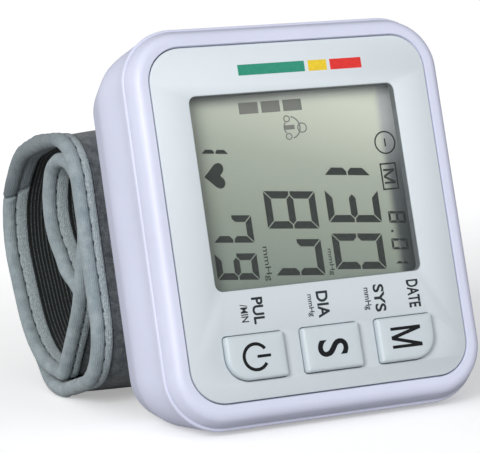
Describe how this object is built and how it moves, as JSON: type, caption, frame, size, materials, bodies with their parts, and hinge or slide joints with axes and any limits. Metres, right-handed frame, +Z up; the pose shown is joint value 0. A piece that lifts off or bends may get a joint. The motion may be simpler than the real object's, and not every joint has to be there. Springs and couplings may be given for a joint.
{
  "type": "wrist blood pressure monitor",
  "caption": "Wrist blood pressure monitor: a moulded housing with a display, face keys and a battery cover, carried on a rolled cloth cuff with bound edges.",
  "frame": {"origin": "centre of the bounding box at the ground under the standing device", "axes": "+X along the wrist, towards the top of the display; +Y away from the face, towards the cuff; +Z up"},
  "size_m": [0.072, 0.0884, 0.0764],
  "materials": {
    "shell": "satin moulded",
    "panel": "satin",
    "key": "satin",
    "lens": "clear",
    "display_glass": "liquid crystal cell",
    "display_inner": "plain",
    "board": "solder mask",
    "black_plastic": "moulded",
    "ivory_plastic": "moulded",
    "steel": "plated",
    "cell_can": "plain sleeve",
    "rubber": "matt",
    "cloth": "knit",
    "lining": "ribbed knit",
    "tape": "woven binding",
    "wire": "insulated"
  },
  "bodies": {
    "housing": {"front_bezel": "shell", "rear_shell": "shell", "face_panel": "panel", "housing_screw_1": "steel", "housing_screw_2": "steel", "display_lens": "lens", "lcd_glass": "display_glass", "lcd_reflector": "display_inner", "lcd_frame": "display_inner", "zebra_connector": "rubber", "switch_power": "black_plastic", "switch_set": "black_plastic", "switch_memory": "black_plastic", "main_board": "board", "microcontroller": "black_plastic", "buzzer": "black_plastic", "pressure_sensor": "ivory_plastic", "pump_motor": "steel", "pump_head": "black_plastic", "pump_diaphragm": "rubber", "air_tee": "ivory_plastic", "hose_pump": "rubber", "hose_valve": "rubber", "hose_sensor": "rubber", "valve_body": "black_plastic", "valve_spring": "steel", "cuff_nipple": "ivory_plastic", "battery_cell_1": "cell_can", "battery_contact_1": "steel", "battery_spring_1": "steel", "battery_cell_2": "cell_can", "battery_contact_2": "steel", "battery_spring_2": "steel", "motor_lead_1": "wire", "motor_lead_2": "wire", "cuff_saddle": "display_inner", "cuff_outer_cloth": "cloth", "cuff_lining": "lining", "cuff_former": "display_inner", "air_bladder": "rubber", "cuff_binding_near": "tape", "cuff_binding_far": "tape", "cuff_tip_tape": "tape"},
    "power_key": {"key_power": "key", "plunger_power": "black_plastic"},
    "set_key": {"key_set": "key", "plunger_set": "black_plastic"},
    "memory_key": {"key_memory": "key", "plunger_memory": "black_plastic"},
    "battery_cover": {"battery_door": "shell"},
    "strap": {"strap_outer_cloth": "cloth", "strap_lining": "lining", "strap_binding_near": "tape", "strap_binding_far": "tape", "strap_tip_tape": "tape", "hook_tape": "cloth"},
    "pump_crank": {"pump_cam": "ivory_plastic"},
    "valve_core": {"valve_plunger": "steel"}
  },
  "joints": [
    {"name": "power_key_press", "type": "slide", "parent": "housing", "child": "power_key", "axis": [0, 0.9703, -0.2419], "range_m": [0, 0.0006], "stiffness_N_per_m": 400},
    {"name": "set_key_press", "type": "slide", "parent": "housing", "child": "set_key", "axis": [0, 0.9703, -0.2419], "range_m": [0, 0.0006], "stiffness_N_per_m": 400},
    {"name": "memory_key_press", "type": "slide", "parent": "housing", "child": "memory_key", "axis": [0, 0.9703, -0.2419], "range_m": [0, 0.0006], "stiffness_N_per_m": 400},
    {"name": "battery_cover_slide", "type": "slide", "parent": "housing", "child": "battery_cover", "axis": [0, 0.2419, 0.9703], "range_m": [0, 0.03]},
    {"name": "strap_opening", "type": "hinge", "parent": "housing", "child": "strap", "pos_m": [0, 0.01295, 0.05541], "axis": [1, 0, 0], "range_deg": [0, 60]},
    {"name": "pump_crank_turn", "type": "hinge", "parent": "housing", "child": "pump_crank", "pos_m": [-0.0057, -0.01699, 0.03423], "axis": [1, 0, 0], "continuous": true},
    {"name": "valve_core_slide", "type": "slide", "parent": "housing", "child": "valve_core", "axis": [0, -0.2419, -0.9703], "range_m": [0, 0.0008], "stiffness_N_per_m": 200}
  ]
}
